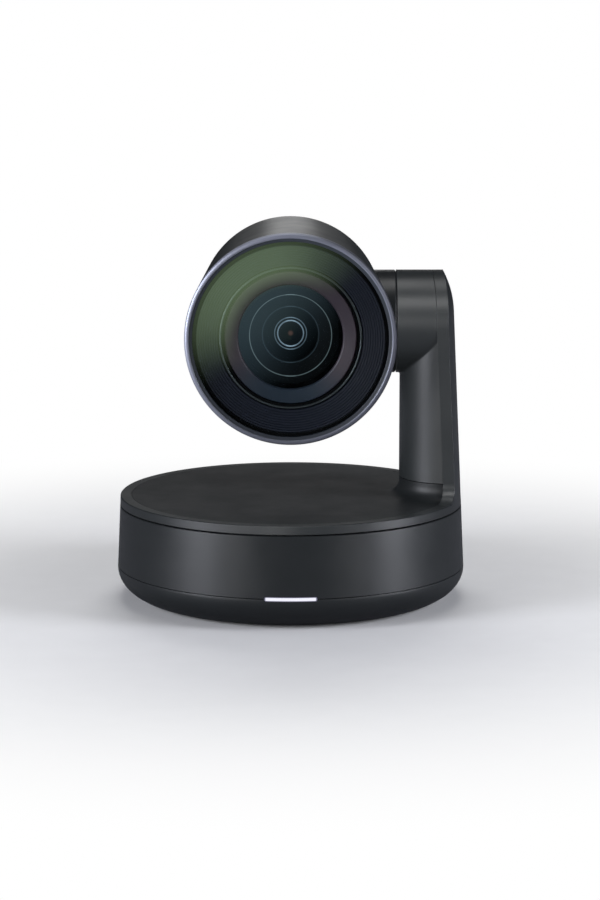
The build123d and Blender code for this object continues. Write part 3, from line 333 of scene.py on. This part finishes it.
def lit_bar(name):
    """Frosted light bar: a white core, bluish violet and dim towards its edges."""
    m, nt, place, out = new_material(name)
    split = add(nt, "ShaderNodeSeparateXYZ", {0: place})
    x = maths(nt, "ABSOLUTE", split.outputs["X"])
    z = maths(nt, "ABSOLUTE", maths(nt, "SUBTRACT", split.outputs["Z"], BAR_Z * MM))
    core = times(nt, ramp(nt, x, 11.0 * MM, 10.2 * MM), ramp(nt, z, 0.85 * MM, 0.50 * MM))
    frost = spread(nt, noise(nt, place, 1800.0, 2.0), 0.90, 1.0)
    colour = mixed(nt, core, (0.42, 0.40, 0.62, 1), (0.93, 0.93, 1.0, 1))
    power = times(nt, ramp(nt, core, 0.0, 1.0, 0.10, 0.95), frost)
    glow = add(nt, "ShaderNodeEmission", {"Color": colour, "Strength": power})
    skin = add(nt, "ShaderNodeBsdfPrincipled", {"Base Color": (0.10, 0.10, 0.13, 1), "Roughness": 0.35})
    both = add(nt, "ShaderNodeAddShader", {0: skin.outputs[0], 1: glow.outputs[0]})
    nt.links.new(both.outputs[0], out.inputs["Surface"])
    return m


PLASTIC = srgb(34, 37, 38)

materials = {
    "shell_plastic": solid("shell_plastic", PLASTIC, 0.36, edge=0.00025, bump=0.08, specular=0.62),
    "bezel_metal": painted_shade_bezel("bezel_metal"),
    # Both glasses carry a painted reflection, emitted; the lens also a painted glint.
    "window_glass": glass_with_painted_reflection("window_glass", tint=(0.97, 0.985, 0.98, 1), mirror=(0.55, 0.75, 0.62, 1),
                         painted_reflection_colour=(0.70, 1.0, 0.57, 1), strength=0.126, degrees=126, low=0.06, high=1.12,
                         fade=(21, 29.5, 0.04), front_y=FRONT_Y + GLASS_Y + 0.4),
    "lens_glass": glass_with_painted_reflection("lens_glass", tint=(0.95, 0.97, 0.98, 1), mirror=(0.45, 0.55, 0.85, 1),
                       painted_reflection_colour=(0.50, 0.79, 1.0, 1), strength=0.050, degrees=138, low=-0.66, high=1.02,
                       fade=(3, 9, 0.8), front_y=FRONT_Y + LENS_Y + 3.6, span=22.0),
    "black_plastic": solid("black_plastic", srgb(30, 33, 38), 0.45, edge=0.0001),
    "trim_metal": solid("trim_metal", srgb(96, 102, 104), 0.34, metallic=0.8, edge=0.0001),
    "mauve_coating": two_hues("mauve_coating", srgb(64, 54, 63), srgb(42, 52, 64)),
    "light_bar": lit_bar("light_bar"),
    "rubber": solid("rubber", srgb(24, 24, 25), 0.85, grain=1500, bump=0.3, edge=0.0003),
    "brass": solid("brass", srgb(190, 152, 84), 0.3, metallic=1.0, edge=0.0002),
    "cast_alloy": solid("cast_alloy", srgb(150, 152, 155), 0.5, metallic=0.85, grain=900, bump=0.25,
                        edge=0.0003),
    "steel": solid("steel", srgb(176, 178, 182), 0.25, metallic=1.0, edge=0.0001),
    "motor_can": solid("motor_can", srgb(132, 134, 140), 0.35, metallic=0.9, edge=0.0002),
    "gear_plastic": solid("gear_plastic", srgb(214, 208, 192), 0.5, edge=0.0002),
    "circuit_board": solid("circuit_board", srgb(18, 62, 40), 0.4, edge=0.0001),
    "socket_metal": solid("socket_metal", srgb(180, 180, 184), 0.3, metallic=1.0, edge=0.0001),
    "cable": solid("cable", srgb(196, 148, 70), 0.55, edge=0.0001),
    "matt_plastic": solid("matt_plastic", PLASTIC, 0.43, edge=0.00025, bump=0.08, specular=0.5),
    # Near-black, almost glossless finish put on the gasket and the lens barrel as painted shade.
    "painted_shade_black": solid("painted_shade_black", srgb(5, 6, 8), 0.85, edge=0.0001, specular=0.08),
    "groove_black": solid("groove_black", srgb(23, 27, 39), 0.5, edge=0.0, specular=0.3),
    # Rings of painted reflection with painted glints, emitted on a dark cell.
    "lens_cell": cell_with_painted_rings("lens_cell", srgb(7, 10, 12), [
        (17.25, 0.26, (0.60, 0.80, 0.85, 1), 0.16), (11.9, 0.30, (0.50, 0.75, 0.95, 1), 0.04),
        (6.75, 0.30, (0.60, 0.82, 1.0, 1), 0.17), (5.45, 0.36, (0.62, 0.82, 1.0, 1), 0.30)]),
}

# Nodes whose finish isn't the one named after their slot.
own_finish = {"lens_barrel": "painted_shade_black", "turntable_cover": "matt_plastic"}


def paint_cad_nodes():
    slots = {s["node"]: s["material_slot"] for s in frame["record"]["subparts"]}
    for name, obj in frame["nodes"].items():
        obj.data.materials.clear()
        obj.data.materials.append(materials[own_finish.get(name, slots[name])])


paint_cad_nodes()


# ---------------------------------------------------------------- meshes turned about the lens axis

def softened(points, radius, closed):
    """Corners of an outline swapped for short three-step curves."""
    out = []
    count = len(points)
    for i, p in enumerate(points):
        if not closed and i in (0, count - 1):
            out.append(p)
            continue
        a, b = Vector(points[i - 1]), Vector(points[(i + 1) % count])
        c = Vector(p)
        cut = min(radius, 0.45 * (a - c).length, 0.45 * (b - c).length)
        p0, p1 = c + (a - c).normalized() * cut, c + (b - c).normalized() * cut
        for t in (0.0, 0.33, 0.67, 1.0):
            out.append(tuple(p0 * (1 - t) ** 2 + c * (2 * t * (1 - t)) + p1 * t * t))
    return out


def lathe(bm, profile, radius, soften):
    """Adds the solid turned from (radius, Y) points in mm; ends on the axis make it a disc."""
    closed = profile[0][0] > 1e-6
    points = softened(profile, radius, closed) if soften else profile
    rings = []
    for r, y in points:
        if r < 1e-6:
            rings.append([bm.verts.new((0, y * MM, TILT_Z * MM))])
            continue
        ring = []
        for k in range(SEGMENTS):
            a = 2 * math.pi * k / SEGMENTS
            ring.append(bm.verts.new((r * MM * math.cos(a), y * MM, (TILT_Z + r * math.sin(a)) * MM)))
        rings.append(ring)
    pairs = list(zip(rings, rings[1:]))
    if closed:
        pairs.append((rings[-1], rings[0]))
    for a, b in pairs:
        for k in range(SEGMENTS):
            corners = [a[k % len(a)], a[(k + 1) % len(a)], b[(k + 1) % len(b)], b[k % len(b)]]
            bm.faces.new(list(dict.fromkeys(corners)))


def turned_piece(name, outline, slot_name, node, finish=None, radius=0.08, soften=True):
    """Turned piece of the head that stands for a CAD node. Its outline is (r, distance behind the bezel's
    front face), its corners are rounded to the radius, and finish names a material other than the slot's."""
    bm = bmesh.new()
    lathe(bm, [(r, FRONT_Y + y) for r, y in outline], radius, soften)
    bmesh.ops.remove_doubles(bm, verts=bm.verts, dist=1e-7)
    bmesh.ops.recalc_face_normals(bm, faces=bm.faces)
    mesh = bpy.data.meshes.new(name)
    bm.to_mesh(mesh)
    bm.free()
    mesh.shade_smooth()
    mesh.set_sharp_from_angle(angle=math.radians(42))
    mesh.materials.append(materials[finish or slot_name])
    obj = bpy.data.objects.new(name, mesh)
    bpy.context.scene.collection.objects.link(obj)
    modifier = obj.modifiers.new("even_shading", "WEIGHTED_NORMAL")
    modifier.keep_sharp = True
    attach(obj, "head")
    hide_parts(node)


def dome(radius, vertex_y, edge_y, steps):
    """Points of a spherical cap from its vertex back to its edge."""
    sag = edge_y - vertex_y
    ball = (radius ** 2 + sag ** 2) / (2 * sag)
    points = []
    for i in range(steps + 1):
        r = radius * i / steps
        points.append((r, vertex_y + ball - math.sqrt(ball ** 2 - r ** 2)))
    return points


def bezel():
    """Rounded front lip, tapered outside, and a spigot that goes into the head's tube."""
    lip = [(42.2, 0.45), (42.45, 0.08), (42.8, 0.0), (43.2, 0.03), (43.65, 0.18), (44.0, 0.42)]
    outside = [(BEZEL_R, 0.9), (44.08, 7.0), (41.4, 7.0), (41.35, 11.0)]
    bore = [(GASKET_R, 11.0), (GASKET_R, 3.1), (WINDOW_R + 0.05, 3.1), (WINDOW_R + 0.05, 0.75)]
    turned_piece("bezel", lip + outside + bore, "bezel_metal", "front_bezel_ring", radius=0.15)


def cover_glass():
    """Flat window and the gasket behind its edge."""
    back = GLASS_Y + 1.5
    turned_piece("cover_glass", [(0, GLASS_Y), (WINDOW_R, GLASS_Y), (WINDOW_R, back), (0, back)],
                 "window_glass", "front_window", radius=0.2)
    turned_piece("cover_glass_gasket",
                 [(GASKET_R, back), (WINDOW_R, back), (WINDOW_R, back + 0.6), (GASKET_R, back + 0.6)],
                 "black_plastic", "window_gasket", "painted_shade_black")


def grooved_baffle():
    """Shallow funnel with concentric grooves, and a tube inside it."""
    grooves = 9
    pitch = 9.05 / grooves
    outline = [(39.5, 4.3)]
    for i in range(grooves):
        r = 39.3 - i * pitch
        y = 3.4 + 3.2 * i / grooves
        outline += [(r, y), (r - 0.68 * pitch, y + 0.16), (r - 0.84 * pitch, y + 0.48)]
    outline += [(BAFFLE_R + 0.05, 6.6), (BAFFLE_R, 13.6), (31.4, 13.6), (31.4, 8.4), (39.4, 5.6)]
    turned_piece("grooved_baffle", outline, "black_plastic", "lens_baffle", "groove_black", soften=False)


def lens_rings():
    """Thin bright trim ring, and the wide sloping ring that holds the front lens."""
    turned_piece("lens_trim", [(29.0, 7.0), (29.0, 6.5), (29.2, 6.2), (29.6, 6.2), (29.9, 6.5), (29.9, 7.0)],
                 "trim_metal", "lens_trim_ring")
    turned_piece("retaining_ring", [(27.8, 9.8), (27.8, 7.8), (27.3, 7.6), (22.4, 8.9), (21.9, 9.4),
                                    (21.9, 11.3), (LENS_R, 11.3), (LENS_R, 9.8)],
                 "mauve_coating", "lens_retaining_ring", radius=0.2)


def front_element():
    """Front lens: domed ahead, hollow behind."""
    front = dome(LENS_R, LENS_Y, 11.5, 32)
    hollow = dome(17.0, 13.0, 14.5, 24)
    turned_piece("front_element", front + [(LENS_R, 14.5)] + hollow[::-1], "lens_glass", "front_lens",
                 soften=False)


def lens_cell():
    """Stepped, narrowing cell behind the front lens."""
    back = 21.9
    outline = [(20.4, 14.6), (17.45, 14.6), (17.15, 14.75), (17.0, 15.0), (12.4, 17.8), (11.45, 17.8),
               (11.45, 20.6), (9.5, 20.6), (9.5, 21.3), (4.8, 21.3), (5.0, back), (20.4, back)]
    turned_piece("lens_cell", outline, "black_plastic", "second_lens_cell", "lens_cell", radius=0.06)


bezel()
cover_glass()
grooved_baffle()
lens_rings()
front_element()
lens_cell()


# ---------------------------------------------------------------- stage, lights and camera

AIM = Vector((0, 0, 0.08))                  # where every light points, in metres
COOL = (0.90, 0.92, 1.0)
CAMERA_PLACE = (0.0, -1.300, 0.2953)        # metres
LOOK_DOWN = 0.176                           # radians
LOOK_RIGHT = 0.00315                        # radians
FOCAL = 120.58
SENSOR = 36.0


def floor():
    """Pale floor that fades to white away from the object, and looks dark in reflections."""
    m, nt, place, out = new_material("floor_paint")
    grain = spread(nt, noise(nt, place, 60.0, 5.0), 0.0, 1.0)
    colour = mixed(nt, grain, (0.86, 0.86, 0.86, 1), (0.88, 0.88, 0.88, 1))
    paint = add(nt, "ShaderNodeBsdfDiffuse", {"Color": colour})
    dark = add(nt, "ShaderNodeBsdfDiffuse", {"Color": (0.18, 0.18, 0.20, 1)})
    white = add(nt, "ShaderNodeEmission", {"Color": (1, 1, 1, 1), "Strength": 1.0})
    camera = add(nt, "ShaderNodeLightPath").outputs["Is Camera Ray"]
    reach = add(nt, "ShaderNodeVectorMath", {0: place}, operation="LENGTH").outputs["Value"]
    far = ramp(nt, reach, 0.09, 0.36)
    shown = add(nt, "ShaderNodeMixShader", {0: far, 1: paint.outputs[0], 2: white.outputs[0]})
    both = add(nt, "ShaderNodeMixShader", {0: camera, 1: dark.outputs[0], 2: shown.outputs[0]})
    nt.links.new(both.outputs[0], out.inputs["Surface"])
    bpy.ops.mesh.primitive_plane_add(size=40)
    plane = bpy.context.object
    plane.name = "floor"
    plane.data.materials.append(m)
    plane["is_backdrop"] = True


def world():
    """White to the camera, nearly dark as a light."""
    w = bpy.data.worlds.new("studio")
    bpy.context.scene.world = w
    w.use_nodes = True
    nt = w.node_tree
    nt.nodes.clear()
    seen = add(nt, "ShaderNodeBackground", {"Color": (1, 1, 1, 1), "Strength": 1.0})
    unseen = add(nt, "ShaderNodeBackground", {"Color": (0.80, 0.84, 1.0, 1), "Strength": 0.02})
    camera = add(nt, "ShaderNodeLightPath").outputs["Is Camera Ray"]
    both = add(nt, "ShaderNodeMixShader", {0: camera, 1: unseen.outputs[0], 2: seen.outputs[0]})
    out = add(nt, "ShaderNodeOutputWorld")
    nt.links.new(both.outputs[0], out.inputs["Surface"])


def softbox(name, azimuth, elevation, distance, width, height, power, colour=(1, 1, 1), only=(), skip=()):
    """Area light round the object: azimuth 0 is the camera's side and 90 the right, in degrees.
    With only, it lights just those pieces and nothing else shades them from it; skip leaves pieces out."""
    a, e = math.radians(azimuth), math.radians(elevation)
    way = Vector((math.sin(a) * math.cos(e), -math.cos(a) * math.cos(e), math.sin(e)))
    light = bpy.data.lights.new(name, "AREA")
    light.shape = "RECTANGLE"
    light.size, light.size_y = width, height
    light.energy = power
    light.color = colour
    obj = bpy.data.objects.new(name, light)
    bpy.context.scene.collection.objects.link(obj)
    obj.location = AIM + way * distance
    obj.rotation_euler = (-way).to_track_quat("-Z", "Y").to_euler()
    obj.visible_camera = False
    if only or skip:
        lit = bpy.data.collections.new(name + "_lights")
        for piece in only or skip:
            lit.objects.link(bpy.data.objects[piece])
        obj.light_linking.receiver_collection = lit
        if only:
            obj.light_linking.blocker_collection = lit
        for entry in lit.collection_objects if skip else ():
            entry.light_linking.link_state = "EXCLUDE"


def camera():
    """Long lens, a little above the object, looking down by LOOK_DOWN and to the right by LOOK_RIGHT."""
    cam = bpy.data.cameras.new("camera")
    cam.lens = FOCAL
    cam.sensor_width = SENSOR
    obj = bpy.data.objects.new("camera", cam)
    bpy.context.scene.collection.objects.link(obj)
    obj.location = CAMERA_PLACE
    obj.rotation_euler = (math.pi / 2 - LOOK_DOWN, 0.0, -LOOK_RIGHT)
    bpy.context.scene.camera = obj


def lights():
    arm = ["turntable_outer_shell", "arm_inner_cover"]
    head = [o.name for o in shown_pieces() if body_of(o) == ["head"]]
    softbox("left", -60, 10, 1.1, 0.40, 0.8, 12.0, COOL, skip=arm)
    softbox("arm_left", -60, 10, 1.1, 0.45, 0.8, 10.0, COOL, only=arm)
    softbox("right", 70, 10, 1.1, 0.40, 0.8, 13.3, COOL, skip=["bezel"])
    softbox("left_front", -35, 10, 1.2, 0.3, 0.6, 1.9)
    softbox("right_front", 40, 10, 1.2, 0.3, 0.6, 1.2)
    softbox("overhead", 180, 84, 1.2, 0.6, 0.6, 2.3)
    softbox("behind", 180, 16, 1.4, 0.7, 0.25, 0.23)
    softbox("arm_front", -12, 8, 1.3, 0.35, 0.35, 3.9, only=arm)
    softbox("arm_low", -30, -28, 1.2, 0.4, 0.3, 1.6, only=["arm_inner_cover"])
    softbox("arm_top", -10, 50, 1.2, 0.5, 0.35, 4.7, only=arm)
    softbox("head_top", 180, 14, 1.2, 0.16, 0.3, 0.18, only=head)
    softbox("rear", 180, 48, 1.3, 0.8, 0.4, 5.0, skip=arm + ["turntable_cover", "barrel_shell", "bezel"])


floor()
world()
lights()
camera()
bpy.context.scene.view_settings.view_transform = "Standard"
bpy.context.scene.view_settings.look = "None"
